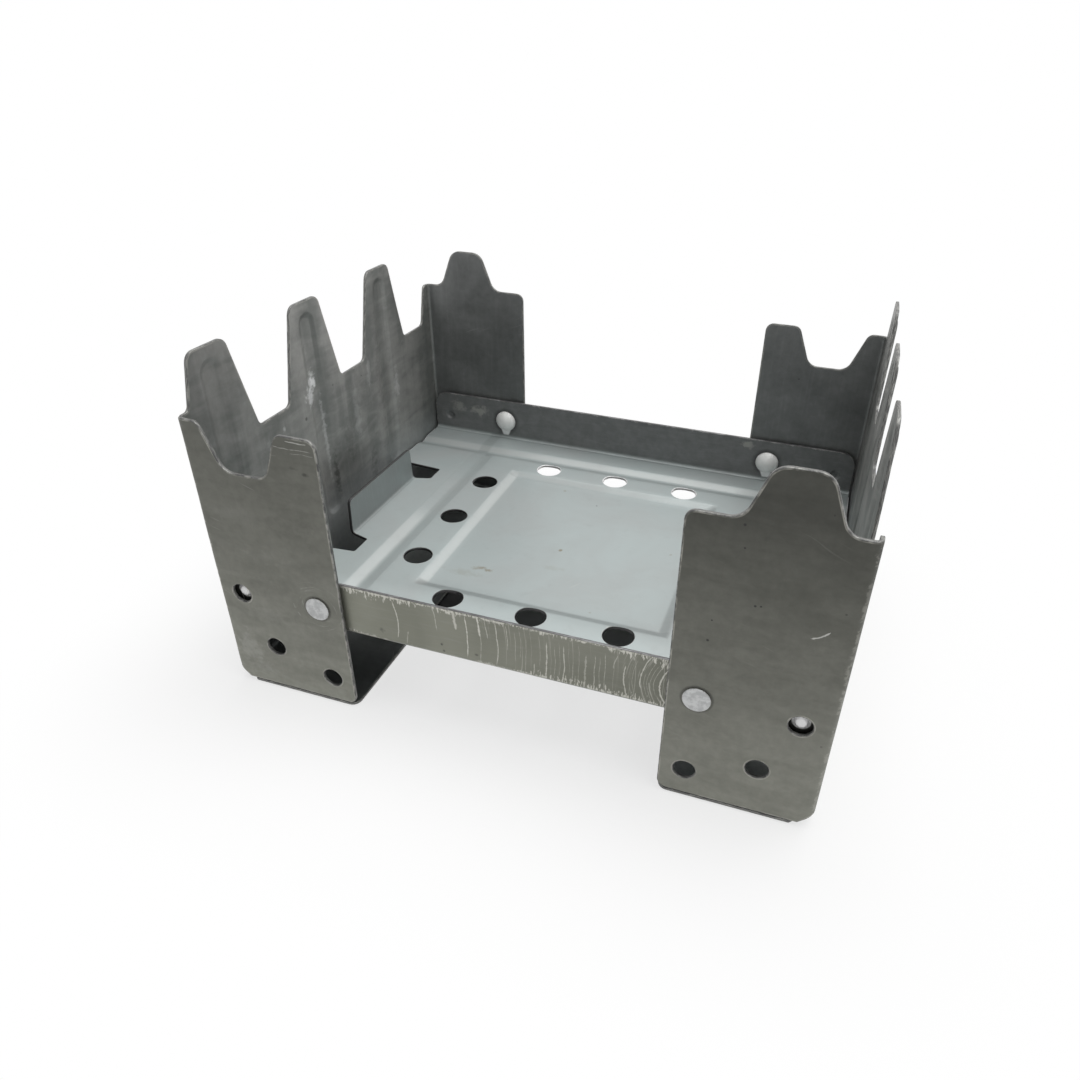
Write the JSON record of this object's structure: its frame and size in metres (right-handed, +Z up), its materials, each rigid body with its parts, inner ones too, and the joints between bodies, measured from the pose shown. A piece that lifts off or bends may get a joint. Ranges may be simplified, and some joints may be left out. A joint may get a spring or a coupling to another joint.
{
  "type": "solid fuel pocket stove",
  "caption": "Folding sheet steel pocket stove, standing open: two shells with toothed walls hinge on rivets at a shallow tray that holds fuel tablets.",
  "frame": {"origin": "on the ground under the middle of the stove, standing open", "axes": "+X along the folded box towards the right shell, +Y to the rear, +Z up"},
  "size_m": [0.0974, 0.0776, 0.0564],
  "materials": {
    "tray_steel": "satin zinc plated sheet, lightly scratched",
    "shell_steel": "dull zinc plated sheet with worn edges",
    "rivet_steel": "bright satin"
  },
  "bodies": {
    "tray": {"tray": "tray_steel", "rivet_front_left": "rivet_steel", "rivet_front_right": "rivet_steel", "rivet_rear_left": "rivet_steel", "rivet_rear_right": "rivet_steel"},
    "left_shell": {"left_shell": "shell_steel"},
    "right_shell": {"right_shell": "shell_steel"}
  },
  "joints": [
    {"name": "left_fold", "type": "hinge", "parent": "tray", "child": "left_shell", "pos_m": [-0.02975, 0, 0.01925], "axis": [0, 1, 0], "range_deg": [0, 90]},
    {"name": "right_fold", "type": "hinge", "parent": "tray", "child": "right_shell", "pos_m": [0.02975, 0, 0.01925], "axis": [0, -1, 0], "range_deg": [0, 90]}
  ]
}
